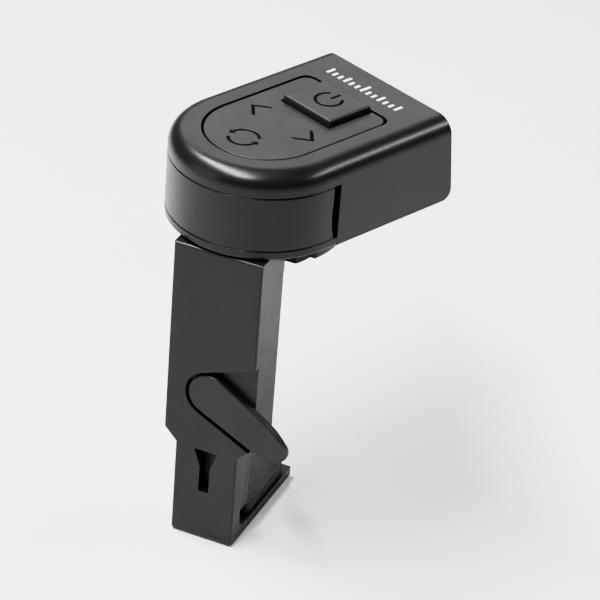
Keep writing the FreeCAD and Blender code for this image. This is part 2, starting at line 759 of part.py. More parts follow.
def head_base():
    """Bottom plate: full width under the drawer, inside the casing's walls behind it."""
    body = doc.addObject("PartDesign::Body", "head_base")
    step = "wall_start - 0.05"
    inside = "inner_half - 0.05"
    rear = "cavity_rear - 0.05"
    plate = [("half", step), (inside, step), (inside, rear), (f"-({inside})", rear),
             (f"-({inside})", step), ("-half", step), ("-half", "0"), ("0", "-half", "half", 1),
             ("half", "0", "half", 1)]
    pad(body, "XY", "plate", plate, "base_thick")
    studs(body, "XY", "peg", [("0", "0", "peg_radius")], "-peg_end", back=True)
    drill(body, "XY", "peg_screw_hole", [("0", "0", "swivel_screw_radius + 0.02")], "2.4", "peg_end",
          back=True)
    places = base_screw_places()
    holes = [(x, y, "screw_radius + 0.1") for x, y in places]
    sinks = [(x, y, "screw_head + 0.1") for x, y in places]
    drill(body, "XY", "screw_holes", holes, "base_thick + 1", back=True)
    drill(body, "XY", "screw_sinks", sinks, "screw_head_thick", back=True)
    outer = number("half")

    def rim(edge):
        return edge.Curve.TypeId == "Part::GeomCircle" and near(edge.Curve.Radius, outer)
    soften(body, "base_edge", lambda edge: rim(edge) and level(edge, 0))
    soften(body, "seam_edge", lambda edge: rim(edge) and level(edge, number("base_thick")))
    keep(body, "head_base", head=True)


def head_casing():
    """Upper cover: a D with a soft top edge, open under the drum for the battery drawer."""
    body = doc.addObject("PartDesign::Body", "head_casing")
    pad(body, "XY", "block", d_outline("half", "head_reach"), "head_height")
    top_back = "head_reach - head_height * tan(display_lean)"
    beyond = [("head_reach + 1", "0"), ("head_reach + 1", "head_height"), (top_back, "head_height"),
              ("head_reach", "0")]
    pocket(body, "YZ", "lean", beyond, "head_width + 1", both=True)
    top, rear = number("head_height"), number(top_back)
    soften(body, "top_round", lambda edge: level(edge, top) and edge.BoundBox.YMin < rear - 0.1)
    face_foot = number("head_reach") - 0.1
    soften(body, "foot_round", lambda edge: level(edge, 0) and edge.BoundBox.YMin > face_foot)
    pocket(body, "XY", "cavity", d_outline("inner_half", "cavity_rear"), "skin_under", back=True)
    drum = [("half + 1", "wall_start"), ("-half - 1", "wall_start"), ("-half - 1", "-half - 1"),
            ("half + 1", "-half - 1")]
    pocket(body, "XY", "drum", drum, "seam", back=True)
    opening = face_slab("display_foot - 0.1", "display_head + 0.1", "-1", "4")
    pocket(body, "YZ", "display_opening", opening, "display_half * 2 + 0.2", both=True)
    pocket(body, "XY", "key_opening", key_outline("keys_groove"), "head_wall + 0.3", "head_height")
    studs(body, "XY", "bosses", [(x, y, "boss_radius") for x, y in base_screw_places()],
          "skin_under - base_thick + 0.05", "base_thick")
    holes = [(x, y, "screw_radius") for x, y in base_screw_places()]
    drill(body, "XY", "boss_holes", holes, "6.5", "base_thick", back=True)
    studs(body, "XY", "board_pegs", [(f"{sign}peg_side", "peg_row", "board_peg") for sign in ("-", "")],
          "skin_under - board_under + 0.4", "board_under - 0.3")
    seam, outer = number("seam"), number("half")
    soften(body, "seam_edge", lambda edge: level(edge, seam) and edge.Curve.TypeId == "Part::GeomCircle"
           and near(edge.Curve.Radius, outer))
    keep(body, "head_casing", head=True)


def base_screws():
    """Two screws up through the base into the casing's bosses."""
    screws = []
    for index, (x, y) in enumerate(base_screw_places()):
        head = rod(f"base_screw_head_{index}", (x, y, "0.02"), "screw_head", "screw_head_thick - 0.04")
        shank = rod(f"base_screw_shank_{index}", (x, y, "screw_head_thick - 0.1"), "screw_radius - 0.03",
                    "base_screw_length")
        slots = [block(f"base_screw_slot_{index}_{way}", (f"{x} - {long}", f"{y} - {wide}", "-0.1"),
                       (f"{x} + {long}", f"{y} + {wide}", "0.25"))
                 for way, long, wide in (("a", "0.7", "0.13"), ("b", "0.13", "0.7"))]
        blank = fuse(f"base_screw_blank_{index}", [head, shank])
        screws.append(cut(f"base_screw_{index}", blank, fuse(f"base_screw_cross_{index}", slots)))
    keep(group("base_screws", screws), "base_screws", head=True)


def swivel_fastening():
    """Washer and screw under the turntable, which hold the base's peg in its hole."""
    washer_under = "(peg_end - washer_thick)"
    head_under = f"({washer_under} - swivel_screw_head_thick)"
    disc = rod("swivel_washer_disc", ("0", "0", washer_under), "washer_radius", "washer_thick")
    hole = rod("swivel_washer_hole", ("0", "0", f"{washer_under} - 0.1"), "swivel_screw_radius + 0.05",
               "washer_thick + 0.2")
    keep(cut("swivel_washer", disc, hole), "swivel_washer", head=True)
    head = rod("swivel_screw_head", ("0", "0", head_under), "swivel_screw_head", "swivel_screw_head_thick")
    shank = rod("swivel_screw_shank", ("0", "0", f"{washer_under} - 0.1"), "swivel_screw_radius",
                "swivel_screw_length")
    slot = block("swivel_screw_slot", ("-1.3", "-0.2", f"{head_under} - 0.1"),
                 ("1.3", "0.2", f"{head_under} + 0.3"))
    screw = cut("swivel_screw", fuse("swivel_screw_blank", [head, shank]), slot)
    keep(screw, "swivel_screw", head=True)


# Head: battery

def battery_drawer():
    """Curved front of the drum with the tray for the cell behind it."""
    body = doc.addObject("PartDesign::Body", "battery_drawer")
    inner = "(half - drawer_wall)"
    wall = [("half", "drawer_end + 1"), (inner, "drawer_end + 1"), (inner, "0"),
            ("0", f"-{inner}", inner, -1), (f"-{inner}", "0", inner, -1), (f"-{inner}", "drawer_end + 1"),
            ("-half", "drawer_end + 1"), ("-half", "0"), ("0", "-half", "half", 1), ("half", "0", "half", 1)]
    pad(body, "XY", "front", wall, "seam - seam_gap - drawer_foot", "drawer_foot")
    pad(body, "XY", "tray", d_outline("tray_half", "tray_rear", f"{inner} + 0.2"), "tray_rim", "drawer_foot")
    notch = [("drawer_end + 3", "drawer_foot - 1"), ("drawer_end + 3", "seam + 1"),
             ("drawer_end", "seam + 1"), ("drawer_end", "seam - 2.5"),
             ("drawer_end + 0.3", "drawer_foot + 0.6", "slot_bow", 1),
             ("drawer_end + 0.3", "drawer_foot - 1")]
    for side, offset in (("left", "-half - 1"), ("right", inner)):
        pocket(body, "YZ", side + "_finger_slot", notch, "drawer_wall + 1", offset, back=True)
    drill(body, "XY", "cell_seat", [("0", "0", "cell_radius + 0.12")], "tray_rim", "drawer_foot + tray_floor",
          back=True)
    drill(body, "XY", "push_hole", [("0", "0", "push_hole")], "tray_floor + 1", "drawer_foot", back=True)
    outer = number("half")
    seams = (number("drawer_foot"), number("seam - seam_gap"))
    soften(body, "drawer_edge", lambda edge: edge.Curve.TypeId == "Part::GeomCircle"
           and near(edge.Curve.Radius, outer) and any(level(edge, height) for height in seams))
    keep(body, "battery_drawer", head=True)


def coin_cell():
    """Lithium cell: the can with its smaller cap on top."""
    body = doc.addObject("PartDesign::Body", "coin_cell")
    sketch = new_sketch(body, "XZ", "profile")
    low, high, edge = "cell_floor", "cell_top", "cell_radius"
    outline(sketch, [("0", low), (f"{edge} - 0.3", low), (edge, f"{low} + 0.3", "0.3", 1),
                     (edge, f"{high} - 0.6"), (f"{edge} - 0.35", f"{high} - 0.25", "0.35", 1),
                     (f"{edge} - cell_cap_inset + 0.2", f"{high} - 0.25"),
                     (f"{edge} - cell_cap_inset", high), ("0", high)])
    turned = body.newObject("PartDesign::Revolution", "coin_cell_revolution")
    turned.Profile = sketch
    turned.ReferenceAxis = (sketch, ["V_Axis"])
    turned.Angle = 360
    keep(body, "coin_cell", head=True)


def battery_contacts():
    """Sprung leaves under the board: one on the cell's cap, one on its side."""
    top = doc.addObject("PartDesign::Body", "contact_top")
    under, tip, metal = "board_under", "cell_top + 0.05", "contact_metal"
    leaf = [("7.6", f"{under} - {metal}"), ("7.6", under), ("4.4", under), ("2.1", f"{tip} + {metal}"),
            ("1.5", f"{tip} + {metal} + 0.25"), ("1.35", f"{tip} + 0.35"), ("2.0", tip),
            ("4.5", f"{under} - {metal}")]
    pad(top, "YZ", "leaf", leaf, "contact_top_half * 2", both=True)
    keep(top, "contact_top", head=True)
    side = doc.addObject("PartDesign::Body", "contact_side")
    near_can = "cell_radius + 0.06"
    rear = "contact_side_rear"
    hook = [(rear, f"{under} - {metal}"), (rear, under), (f"{near_can} + 0.4", under),
            (f"{near_can} + 0.3", "cell_floor + 2.2"), (near_can, "cell_floor + 1.6"),
            (f"{near_can} + 0.5", "cell_floor + 0.8"), (f"{near_can} + 0.7", "cell_floor + 0.8"),
            (f"{near_can} + 0.22", "cell_floor + 1.6"), (f"{near_can} + 0.5", "cell_floor + 2.2"),
            (f"{near_can} + 0.6", f"{under} - {metal}")]
    pad(side, "YZ", "hook", hook, "contact_side_half * 2", both=True)
    keep(side, "contact_side", head=True)


# Head: electronics

def circuit_board():
    """Board over the cell, cut away round the casing's bosses."""
    body = doc.addObject("PartDesign::Body", "circuit_board")
    pad(body, "XY", "board", d_outline("inner_half - 0.4", "board_rear", "inner_half - 0.4"), "board_thick",
        "board_under")
    holes = [(x, y, "boss_radius + 0.2") for x, y in base_screw_places()]
    holes += [(f"{sign}peg_side", "peg_row", "board_peg + 0.05") for sign in ("-", "")]
    drill(body, "XY", "boss_holes", holes, "board_thick + 1", "board_top")
    keep(body, "circuit_board", head=True)


def controller_chip():
    """Chip under the board's rear end, with bevelled edges."""
    under = "board_under - chip_thick"
    chip = block("chip_block", ("-chip_half", "chip_front", under),
                 ("chip_half", "chip_front + chip_half * 2", "board_under"))
    doc.recompute()
    bevel = doc.addObject("Part::Chamfer", "controller_chip")
    bevel.Base = chip
    low = number(under)
    numbered = enumerate(chip.Shape.Edges, start=1)
    bevel.Edges = [(index, 0.2, 0.2) for index, edge in numbered if level(edge, low)]
    keep(bevel, "controller_chip", head=True)


def piezo_sensor():
    """Brass disc on the base with its ceramic, and the two leads up to the board."""
    centre = ("0", "piezo_row")
    plate_top = "base_thick + 0.02 + piezo_thick"
    ceramic_top = f"{plate_top} + ceramic_thick"
    plate = rod("piezo_disc", (*centre, "base_thick + 0.02"), "piezo_radius", "piezo_thick")
    keep(plate, "piezo_disc", head=True)
    ceramic = rod("piezo_ceramic", (*centre, plate_top), "ceramic_radius", "ceramic_thick")
    keep(ceramic, "piezo_ceramic", head=True)
    plate_lead = rod("piezo_lead_plate", ("3.6", "piezo_row - 1.5", plate_top), "lead_radius",
                     f"board_under - ({plate_top})")
    ceramic_lead = rod("piezo_lead_ceramic", ("-2.75", "piezo_row - 0.9", ceramic_top), "lead_radius",
                       f"board_under - ({ceramic_top})")
    keep(group("piezo_leads", [plate_lead, ceramic_lead]), "piezo_leads", head=True)


def tact_switches():
    """One click switch under each key."""
    places = {"switch_power": ("0", "power_row"), "switch_left": ("-key_side", "key_row"),
              "switch_right": ("key_side", "key_row"), "switch_front": ("0", "key_front")}
    for label, (x, y) in places.items():
        side = "switch_size / 2"
        low = (f"{x} - {side}", f"{y} - {side}", "board_top")
        high = (f"{x} + {side}", f"{y} + {side}", "board_top + switch_body")
        body = block(label + "_body", low, high)
        plunger = rod(label + "_plunger", (x, y, "board_top + switch_body - 0.1"), "plunger_radius",
                      "switch_plunger + 0.1")
        keep(fuse(label, [body, plunger]), label, head=True)


# Head: display

def display():
    """Panel, window and bezel in the opening of the leaning face, and the flat connector."""
    slabs = {
        "lcd_panel": ("display_foot + 0.1", "display_head - 0.1", "panel_inset", "panel_back",
                      "display_half - 0.3"),
        "display_window": ("display_foot + bezel_rim + 0.05", "display_head - bezel_rim - 0.05",
                           "window_inset", "window_back", "display_half - bezel_rim - 0.05"),
    }
    for label, (low, high, shallow, deep, half) in slabs.items():
        body = doc.addObject("PartDesign::Body", label)
        pad(body, "YZ", "slab", face_slab(low, high, shallow, deep), f"({half}) * 2", both=True)
        keep(body, label, head=True)
    bezel = doc.addObject("PartDesign::Body", "display_bezel")
    rim = face_slab("display_foot", "display_head", "bezel_inset", "window_back")
    pad(bezel, "YZ", "frame", rim, "display_half * 2", both=True)
    aperture = face_slab("display_foot + bezel_rim", "display_head - bezel_rim", "-0.5", "2")
    pocket(bezel, "YZ", "aperture", aperture, "(display_half - bezel_rim) * 2", both=True)
    keep(bezel, "display_bezel", head=True)
    tail = block("lcd_connector", ("-connector_half", "board_rear - 1.2", "board_top"),
                 ("connector_half", "connector_rear", "board_top + connector_thick"))
    keep(tail, "lcd_connector", head=True)


# Head: keys

def key_outline(groove):
    """The keypad's D with rounded rear corners, widened by a groove."""
    half, rear, corner = f"(keys_radius + {groove})", f"(keys_rear + {groove})", "keys_corner"
    return [(half, f"{rear} - {corner}"), (f"{half} - {corner}", rear, corner, 1),
            (f"{corner} - {half}", rear), (f"-{half}", f"{rear} - {corner}", corner, 1),
            (f"-{half}", "0"), ("0", f"-{half}", half, 1), (half, "0", half, 1)]


def chevron_mark(body, side, sign):
    """Engraved chevron that points away from the centre line."""
    thick = "chevron_width"
    high, low = "key_row + chevron_half", "key_row - chevron_half"
    back, tip = f"{sign}chevron_back", f"{sign}chevron_tip"
    inner_back, inner_tip = f"{sign}(chevron_back - {thick})", f"{sign}(chevron_tip - {thick})"
    steps = [(tip, "key_row"), (back, high), (inner_back, high), (inner_tip, "key_row"), (inner_back, low),
             (back, low)]
    pocket(body, "XY", side + "_mark", steps, "mark_depth", "keys_top")


def arc_groove(body, name, row, radius, start, sweep, top):
    """Engraved arc about a point on the centre line. Start and sweep are in degrees."""
    outer, inner = f"({radius} + mark_width / 2)", f"({radius} - mark_width / 2)"

    def point(reach, turn):
        return f"{reach} * cos({turn})", f"{row} + {reach} * sin({turn})"
    end = start + sweep
    steps = [point(outer, start), (*point(outer, end), outer, 1), point(inner, end),
             (*point(inner, start), inner, -1)]
    pocket(body, "XY", name, steps, "mark_depth", top)


def cycle_mark(body):
    """Engraved ring of two arcs, each with an arrowhead on its end."""
    barb = "cycle_barb"
    for name, start, sign in (("upper", 42, "-"), ("lower", 222, "")):
        arc_groove(body, name + "_cycle_arc", "key_front", "cycle_radius", start, 138, "keys_top")
        head = [(f"{sign}(cycle_radius - {barb})", "key_front"),
                (f"{sign}(cycle_radius + {barb})", "key_front"),
                (f"{sign}cycle_radius", f"key_front {sign or '+'} {barb} * 1.2")]
        pocket(body, "XY", name + "_cycle_head", head, "mark_depth", "keys_top")


def power_mark(body, top):
    """Engraved open ring with a bar in its gap."""
    for name, start in (("left", 130), ("right", 270)):
        arc_groove(body, name + "_ring", "power_row", "power_mark_radius", start, 140, top)
    bar_end = "power_row + power_mark_radius + 0.3"
    bar = rectangle("-mark_width / 2", "power_row + 0.4", "mark_width / 2", bar_end)
    pocket(body, "XY", "bar_mark", bar, "mark_depth", top)


def keypad():
    """Plate that carries the left, right and front marks, and tips on a rubber post."""
    body = doc.addObject("PartDesign::Body", "keypad_plate")
    pad(body, "XY", "plate", key_outline("0"), "keys_thick", "keys_under")
    side = "(power_half + 0.25)"
    notch = rectangle(f"-{side}", "power_front - 0.25", side, "keys_rear + 1")
    pocket(body, "XY", "notch", notch, "keys_thick + 1", "keys_top")
    feet = [("-key_side", "key_row", "key_foot"), ("key_side", "key_row", "key_foot"),
            ("0", "key_front", "key_foot")]
    studs(body, "XY", "feet", feet, "keys_under - plunger_top - key_gap + 0.1", "plunger_top + key_gap")
    top = number("keys_top")
    soften(body, "keys_edge", lambda edge: level(edge, top))
    chevron_mark(body, "left", "-")
    chevron_mark(body, "right", "")
    cycle_mark(body)
    keep(body, "keypad_plate", head=True)
    post = rod("keypad_pivot", ("0", "key_row", "board_top + 0.06"), "pivot_radius",
               "keys_under - board_top - 0.1")
    keep(post, "keypad_pivot", head=True)


def power_button():
    """Raised block in the plate's notch, with a flange that keeps it in."""
    body = doc.addObject("PartDesign::Body", "power_button")
    rear = "keys_rear - 0.1"
    cap_top = "head_height + power_rise"
    pad(body, "XY", "cap", rectangle("-power_half", "power_front", "power_half", rear),
        f"{cap_top} - (keys_under - 0.3)", "keys_under - 0.3")
    flange = rectangle("-power_half - power_flange", "power_front - power_flange",
                       "power_half + power_flange", "keys_rear + 0.2")
    pad(body, "XY", "flange", flange, "power_flange", "keys_under - power_flange - 0.25")
    studs(body, "XY", "foot", [("0", "power_row", "1.1")],
          "keys_under - 0.8 - plunger_top - power_travel - 0.04", "plunger_top + power_travel + 0.04")
    top = number(cap_top)
    soften(body, "0.3", lambda edge: level(edge, top))
    power_mark(body, cap_top)
    keep(body, "power_button", head=True)


# Whole model

def check():
    """Stop on any failed object, and on any sub-part without a valid solid."""
    for thing in doc.Objects:
        if "Invalid" in thing.State or "Error" in thing.State:
            raise RuntimeError(f"{thing.Name}: {thing.State}")
    for thing in nodes:
        if thing.Shape.isNull() or not thing.Shape.isValid() or not thing.Shape.Solids:
            raise RuntimeError(f"{thing.Label}: bad shape")


def export():
    """One STEP file for each sub-part."""
    os.makedirs("parts", exist_ok=True)
    for thing in nodes:
        thing.Shape.exportStep(f"parts/{thing.Label}.step")
        print(f"{thing.Label}: {len(thing.Shape.Solids)} solid, {thing.Shape.Volume:.2f} mm3")


fill_sheet()
for build in (clamp_body, sleeve_cover, sleeve_screws, lower_jaw_pad,
              release_lever, pawl, pawl_screw, lever_spring, upper_jaw, upper_jaw_pad,
              head_base, head_casing, base_screws, swivel_fastening,
              battery_drawer, coin_cell, battery_contacts,
              circuit_board, controller_chip, piezo_sensor, tact_switches,
              display, keypad, power_button):
    build()
doc.recompute()
check()
export()
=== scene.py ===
import json
import math

import bmesh
import bpy
from mathutils import Matrix, Vector


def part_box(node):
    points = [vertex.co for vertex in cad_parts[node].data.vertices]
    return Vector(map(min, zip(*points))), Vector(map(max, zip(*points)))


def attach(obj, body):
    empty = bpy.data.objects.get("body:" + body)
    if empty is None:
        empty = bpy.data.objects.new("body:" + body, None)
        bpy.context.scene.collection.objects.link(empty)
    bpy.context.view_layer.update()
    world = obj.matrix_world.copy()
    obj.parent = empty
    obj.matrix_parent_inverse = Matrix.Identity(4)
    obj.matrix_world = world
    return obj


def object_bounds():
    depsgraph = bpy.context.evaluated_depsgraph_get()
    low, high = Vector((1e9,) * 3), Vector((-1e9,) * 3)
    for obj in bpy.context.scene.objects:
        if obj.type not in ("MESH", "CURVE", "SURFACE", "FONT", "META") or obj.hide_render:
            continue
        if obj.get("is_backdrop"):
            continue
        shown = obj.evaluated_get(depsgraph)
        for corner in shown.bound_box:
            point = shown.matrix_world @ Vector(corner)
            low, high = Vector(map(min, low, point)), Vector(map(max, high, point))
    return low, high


# Clip-on tuner on a pale studio floor. The model's lengths are in millimetres and turned into
# metres by MM. Lights and camera are placed in metres.
MM = 0.001
HEAD_TURN = math.radians(-23.2)    # display's direction, about the swivel axis
DISPLAY_LEAN = math.radians(6.7)
HEAD_REACH = 22.8                  # swivel axis to the display face, at its foot
PANEL_DEPTH = 1.25                 # display panel behind the leaning face

# Near-black fill in the keys' engraved marks, painted shade deepening the grooves. A row is a distance from
# the swivel axis towards the display.
GROOVE_SHADE_WIDTH = 0.38                    # width, in grooves 0.42 wide
GROOVE_SHADE_FLOOR = -0.118                 # below the key's top
GROOVE_SHADE_TOP = -0.03
INK_AND_GROOVE_SHADE_EDGE = 0.01                    # bevel
CHEVRON_ROW = 3.1
CHEVRON_BACK = 3.98                # ends of its arms, off the centre line
CHEVRON_TIP = 5.875
CHEVRON_HALF = 1.62                # half its height
CHEVRON_SHADE_WIDTH = 0.615
CYCLE_ROW = -3.4
CYCLE_RADIUS = 1.95
CYCLE_BARB = 0.56                  # half width of an arrowhead
POWER_ROW = 11.0
POWER_RADIUS = 1.75

# Printed scale on the casing
TICK_ROW = 17.0
TICK_PITCH = 1.05
TICK_WIDTH = 0.38
TICK_CENTRE = -0.4
TICKS_EACH_SIDE = 6
PRINT_SUNK = -0.03                 # foot and top of the print, from the casing's surface
PRINT_PROUD = 0.008

# Segments on the display panel
SEGMENT_THICK = 0.02
SEGMENT_EDGE = 0.004               # bevel
DIAL_RADIUS = 10.4
DIAL_DROP = 1.9                    # dial's centre below the foot of the face
DIAL_STEP = 4.6                    # degrees
DIAL_STEPS_EACH_SIDE = 10
SYMBOL_ROW = 3.2

# Small parts on the board: each row, and the places across it
CHIP_ROWS = {7.6: (-6.4, -4.2, 4.2, 6.4), 12.4: (-6.6, 6.6), -2.6: (-5.0, 5.0)}

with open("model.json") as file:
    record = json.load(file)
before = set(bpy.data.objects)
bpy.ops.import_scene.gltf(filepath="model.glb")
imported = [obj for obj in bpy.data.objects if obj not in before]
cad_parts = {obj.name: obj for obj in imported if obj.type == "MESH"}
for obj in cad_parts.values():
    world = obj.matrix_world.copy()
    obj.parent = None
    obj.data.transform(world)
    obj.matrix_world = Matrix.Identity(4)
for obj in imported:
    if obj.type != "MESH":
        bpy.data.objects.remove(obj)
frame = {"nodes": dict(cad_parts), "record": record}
cad_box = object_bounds()
nodes = frame["nodes"]


# Materials

class Surface:
    """A Principled material, with detail laid out in the object's own space in millimetres."""

    def __init__(self, name, **sockets):
        self.material = bpy.data.materials.new(name)
        self.material.use_nodes = True
        self.tree = self.material.node_tree
        self.shader = self.tree.nodes["Principled BSDF"]
        for socket, value in sockets.items():
            self.shader.inputs[socket.replace("_", " ")].default_value = value

    def node(self, kind, **inputs):
        """Add a node. Inputs are named sockets, given as numbers or as outputs to link."""
        node = self.tree.nodes.new("ShaderNode" + kind)
        for socket, value in inputs.items():
            self.feed(node.inputs[socket.replace("_", " ")], value)
        return node

    def feed(self, socket, value):
        if isinstance(value, bpy.types.NodeSocket):
            self.tree.links.new(value, socket)
        else:
            socket.default_value = value

    def place(self, stretch=(1, 1, 1), turn=0.0):
        """The object's own coordinates in millimetres, stretched and turned about Z."""
        own = self.node("TexCoord").outputs["Object"]
        mapping = self.node("Mapping", Vector=own)
        mapping.inputs["Rotation"].default_value = (0, 0, turn)
        mapping.inputs["Scale"].default_value = [part / MM for part in stretch]
        return mapping.outputs["Vector"]

    def noise(self, scale, detail=3.0, stretch=(1, 1, 1), turn=0.0):
        """Cloudy pattern: scale is how many clouds there are in a millimetre."""
        cloud = self.node("TexNoise", Vector=self.place(stretch, turn), Scale=scale, Detail=detail)
        return cloud.outputs["Fac"]

    def waves(self, scale, distortion=0.0, direction="X"):
        """Parallel bands: scale is about a third of how many there are in a millimetre."""
        bands = self.node("TexWave", Vector=self.place(), Scale=scale, Distortion=distortion)
        bands.bands_direction = direction
        return bands.outputs["Fac"]

    def cells(self, scale):
        """Distance to the nearest of many scattered points."""
        return self.node("TexVoronoi", Vector=self.place(), Scale=scale).outputs["Distance"]

    def span(self, factor, low, high, start=0.3, end=0.7):
        """Turn a pattern into a number between low and high."""
        ranged = self.node("MapRange", Value=factor)
        ranged.inputs["From Min"].default_value = start
        ranged.inputs["From Max"].default_value = end
        ranged.inputs["To Min"].default_value = low
        ranged.inputs["To Max"].default_value = high
        return ranged.outputs["Result"]

    def mix(self, factor, first, second):
        """Blend two colours."""
        blend = self.tree.nodes.new("ShaderNodeMix")
        blend.data_type = "RGBA"
        colours = [socket for socket in blend.inputs if socket.type == "RGBA"]
        self.feed(blend.inputs[0], factor)
        for socket, colour in zip(colours, (first, second)):
            self.feed(socket, colour)
        return [socket for socket in blend.outputs if socket.type == "RGBA"][0]

    def product(self, first, second):
        multiply = self.tree.nodes.new("ShaderNodeMath")
        multiply.operation = "MULTIPLY"
        self.feed(multiply.inputs[0], first)
        self.feed(multiply.inputs[1], second)
        return multiply.outputs[0]

    def round_edges(self, radius):
        """Normal that turns smoothly over sharp edges."""
        bevel = self.node("Bevel", Radius=radius * MM)
        bevel.samples = 4
        return bevel.outputs["Normal"]

    def edge_mask(self, rounded):
        """One on an edge and zero on a face, from the rounded normal."""
        straight = self.node("NewGeometry").outputs["Normal"]
        dot = self.node("VectorMath")
        dot.operation = "DOT_PRODUCT"
        self.feed(dot.inputs[0], rounded)
        self.feed(dot.inputs[1], straight)
        return self.span(dot.outputs["Value"], 0.0, 1.0, start=0.985, end=0.82)

    def bump(self, height, depth, normal=None):
        """Raise the surface by a pattern, depth millimetres high."""
        raised = self.node("Bump", Height=height, Distance=depth * MM)
        if normal:
            self.feed(raised.inputs["Normal"], normal)
        return raised.outputs["Normal"]

    def finish(self, colour, roughness, normal):
        self.feed(self.shader.inputs["Base Color"], colour)
        self.feed(self.shader.inputs["Roughness"], roughness)
        self.feed(self.shader.inputs["Normal"], normal)
        return self.material


def rgb(red, green, blue):
    return (red, green, blue, 1.0)


def moulded(name, dark, light, grain, grain_depth, roughness, worn=0.35):
    """Black moulding: spark-eroded grain, faint flow marks, and edges polished by handling."""
    surface = Surface(name, IOR=1.46, Specular_IOR_Level=0.4)
    rounded = surface.round_edges(0.14)
    worn_edge = surface.product(surface.edge_mask(rounded), surface.span(surface.noise(1.3, 5), 0.15, 1.0))
    flow = surface.noise(0.22, 4, stretch=(1.0, 1.0, 0.35))
    body = surface.mix(surface.span(flow, 0.0, 1.0), dark, light)
    specks = surface.span(surface.noise(9.0, 2), 0.0, 0.35, start=0.45, end=0.8)
    body = surface.mix(specks, body, rgb(*(channel * 1.5 for channel in light[:3])))
    colour = surface.mix(surface.product(worn_edge, worn), body, rgb(0.11, 0.108, 0.105))
    gloss = surface.span(surface.noise(0.35, 2), roughness - 0.015, roughness + 0.025)
    coarse = surface.bump(surface.noise(grain * 0.3, 4), grain_depth * 1.2, rounded)
    fine = surface.bump(surface.cells(grain), grain_depth, coarse)
    return surface.finish(colour, gloss, fine)


def clamp_plastic():
    dark, light = rgb(0.0075, 0.0075, 0.0075), rgb(0.0105, 0.0104, 0.0102)
    return moulded("clamp_plastic", dark, light, 5.5, 0.006, 0.42)


def lever_plastic():
    dark, light = rgb(0.0090, 0.0089, 0.0087), rgb(0.0125, 0.0122, 0.0119)
    return moulded("lever_plastic", dark, light, 7.5, 0.004, 0.36)


def head_plastic():
    dark, light = rgb(0.0062, 0.0060, 0.0059), rgb(0.0088, 0.0085, 0.0083)
    return moulded("head_plastic", dark, light, 6.5, 0.004, 0.31)


def key_plastic():
    dark, light = rgb(0.0150, 0.0137, 0.0148), rgb(0.0195, 0.0180, 0.0193)
    return moulded("key_plastic", dark, light, 7.0, 0.005, 0.42, 0.5)


def pad_rubber():
    """Rubber with fine moulded ribs and a dusty bloom."""
    surface = Surface("pad_rubber", IOR=1.52)
    rounded = surface.round_edges(0.2)
    bloom = surface.span(surface.noise(0.8, 6), 0.0, 0.55)
    colour = surface.mix(bloom, rgb(0.014, 0.014, 0.0145), rgb(0.036, 0.035, 0.034))
    ribs = surface.bump(surface.waves(0.36), 0.03, rounded)
    grain = surface.bump(surface.noise(6.0, 5), 0.03, ribs)
    return surface.finish(colour, surface.span(surface.noise(1.6, 4), 0.72, 0.9), grain)


def metal(name, dark, light, stretch, roughness, lines=6.0, turn=0.0):
    """Metal with drawn, turned or rolled lines, and stains where it has dulled."""
    surface = Surface(name, Metallic=1.0)
    drawn = surface.noise(lines, 5, stretch, turn)
    stains = surface.span(surface.noise(0.9, 5), 0.0, 1.0, start=0.35, end=0.75)
    colour = surface.mix(stains, light, dark)
    gloss = surface.span(drawn, roughness - 0.06, roughness + 0.12)
    scratched = surface.bump(drawn, 0.004, surface.round_edges(0.05))
    return surface.finish(colour, gloss, scratched)


def screw_steel():
    return metal("screw_steel", rgb(0.36, 0.36, 0.37), rgb(0.58, 0.58, 0.60), (1.0, 1.0, 4.0), 0.30)


def spring_steel():
    return metal("spring_steel", rgb(0.42, 0.42, 0.43), rgb(0.63, 0.63, 0.65), (6.0, 1.0, 1.0), 0.24)


def cell_steel():
    return metal("cell_steel", rgb(0.55, 0.55, 0.54), rgb(0.74, 0.74, 0.73), (0.25, 5.0, 1.0), 0.27, 4.0, 0.4)


def contact_metal():
    return metal("contact_metal", rgb(0.62, 0.44, 0.16), rgb(0.83, 0.64, 0.30), (1.0, 5.0, 5.0), 0.26)


def piezo_brass():
    return metal("piezo_brass", rgb(0.52, 0.37, 0.13), rgb(0.76, 0.58, 0.26), (0.3, 6.0, 1.0), 0.30)


def board_mask():
    """Green solder mask, with copper tracks showing through as paler lines."""
    surface = Surface("board_mask", IOR=1.5, Coat_Weight=0.4, Coat_Roughness=0.12)
    across = surface.span(surface.waves(0.42, 3.0, "X"), 0.0, 1.0, start=0.88, end=0.95)
    along = surface.span(surface.waves(0.37, 2.5, "Y"), 0.0, 1.0, start=0.90, end=0.96)
    track = rgb(0.035, 0.18, 0.07)
    cloud = surface.span(surface.noise(0.6, 3), 0, 1)
    mask = surface.mix(cloud, rgb(0.008, 0.060, 0.026), rgb(0.011, 0.083, 0.036))
    colour = surface.mix(along, surface.mix(across, mask, track), track)
    tracks = surface.bump(along, 0.02, surface.bump(across, 0.02))
    return surface.finish(colour, surface.span(surface.noise(2.0, 3), 0.30, 0.42), tracks)


def chip_epoxy():
    """Moulded epoxy: sandy grain and a faint brown cast."""
    surface = Surface("chip_epoxy", IOR=1.55)
    cloud = surface.span(surface.noise(7, 4), 0, 1)
    colour = surface.mix(cloud, rgb(0.018, 0.017, 0.016), rgb(0.050, 0.047, 0.045))
    grain = surface.bump(surface.noise(12.0, 4), 0.012, surface.round_edges(0.06))
    return surface.finish(colour, surface.span(surface.noise(3.0, 3), 0.48, 0.62), grain)


def piezo_silver():
    """Ceramic with its fired silver face."""
    surface = Surface("piezo_silver", Metallic=0.65)
    cloud = surface.span(surface.noise(3.0, 5), 0, 1)
    colour = surface.mix(cloud, rgb(0.52, 0.50, 0.45), rgb(0.72, 0.70, 0.65))
    grain = surface.bump(surface.noise(11.0, 3), 0.006)
    return surface.finish(colour, surface.span(surface.noise(5.0, 3), 0.42, 0.60), grain)


